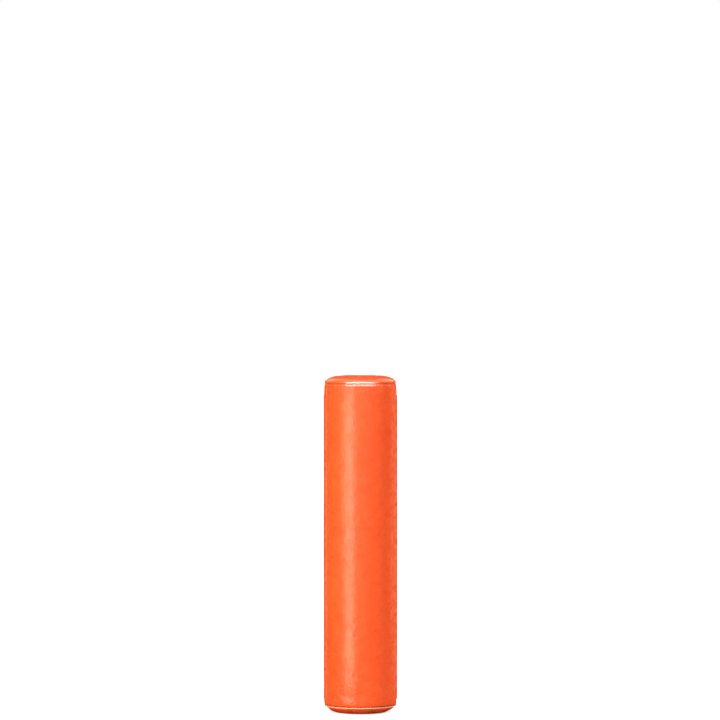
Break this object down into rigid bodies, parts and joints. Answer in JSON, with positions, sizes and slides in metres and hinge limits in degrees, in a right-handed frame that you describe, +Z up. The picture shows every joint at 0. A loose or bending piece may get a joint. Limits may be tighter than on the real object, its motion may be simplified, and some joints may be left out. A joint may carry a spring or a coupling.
{
  "type": "goal post pad",
  "caption": "Tall cylindrical foam pad in sewn vinyl that opens like a clamshell on a hinge strip, closes round a post with a hook-and-loop flap, and has a zip in each half.",
  "frame": {"origin": "centre of the pad's axis at the plane that its base stands on", "axes": "+Z up along the post, -Y out of the front half, -X to the hinge strip and +X to the closure flap"},
  "size_m": [0.3991, 0.395, 1.829],
  "materials": {
    "vinyl_orange": "satin PVC-coated fabric, bright orange, fine leather-like crinkle",
    "vinyl_liner": "matt PVC-coated fabric, the same orange",
    "foam": "open-cell polyurethane foam, cream",
    "hook_and_loop": "woven nylon hook-and-loop tape, orange",
    "zip_tape": "woven polyester tape with nylon coil, black",
    "zip_metal": "nickel-plated die casting"
  },
  "bodies": {
    "rear_shell": {"rear_foam_core": "foam", "rear_outer_cover": "vinyl_orange", "rear_top_cap": "vinyl_orange", "rear_bottom_cap": "vinyl_orange", "rear_top_welt": "vinyl_orange", "rear_bottom_welt": "vinyl_orange", "rear_inner_panel": "vinyl_liner", "rear_zip_facing": "vinyl_liner", "rear_hinge_leaf": "vinyl_orange", "rear_hook_tape": "hook_and_loop", "rear_zip_tape_inner": "zip_tape", "rear_zip_tape_outer": "zip_tape", "rear_zip_bottom_stop": "zip_metal", "rear_zip_top_stop": "zip_metal"},
    "front_shell": {"front_foam_core": "foam", "front_outer_cover": "vinyl_orange", "front_top_cap": "vinyl_orange", "front_bottom_cap": "vinyl_orange", "front_top_welt": "vinyl_orange", "front_bottom_welt": "vinyl_orange", "front_inner_panel": "vinyl_liner", "front_zip_facing": "vinyl_liner", "front_hinge_leaf": "vinyl_orange", "front_zip_tape_inner": "zip_tape", "front_zip_tape_outer": "zip_tape", "front_zip_bottom_stop": "zip_metal", "front_zip_top_stop": "zip_metal"},
    "closure_flap": {"closure_flap": "vinyl_orange", "flap_loop_tape": "hook_and_loop"},
    "front_slider": {"front_zip_slider": "zip_metal"},
    "front_pull": {"front_zip_pull": "zip_metal"},
    "rear_slider": {"rear_zip_slider": "zip_metal"},
    "rear_pull": {"rear_zip_pull": "zip_metal"}
  },
  "joints": [
    {"name": "shell_hinge", "type": "hinge", "parent": "rear_shell", "child": "front_shell", "pos_m": [-0.1988, 0, 0.9], "axis": [0, 0, -1], "range_deg": [0, 170]},
    {"name": "flap_hinge", "type": "hinge", "parent": "front_shell", "child": "closure_flap", "pos_m": [0.183, -0.07743, 0.9], "axis": [0, 0, -1], "range_deg": [0, 136]},
    {"name": "front_zip_slide", "type": "slide", "parent": "front_shell", "child": "front_slider", "axis": [0, 0, 1], "range_m": [0, 1.685]},
    {"name": "front_pull_swing", "type": "hinge", "parent": "front_slider", "child": "front_pull", "pos_m": [0.13475, -0.01165, 0.06775], "axis": [1, 0, 0], "range_deg": [0, 25]},
    {"name": "rear_zip_slide", "type": "slide", "parent": "rear_shell", "child": "rear_slider", "axis": [0, 0, 1], "range_m": [0, 1.685]},
    {"name": "rear_pull_swing", "type": "hinge", "parent": "rear_slider", "child": "rear_pull", "pos_m": [-0.13475, 0.01165, 0.06775], "axis": [-1, 0, 0], "range_deg": [0, 25]}
  ],
  "couplings": [
    {"joint": "flap_hinge", "follows": "shell_hinge", "ratio": 0.8}
  ]
}
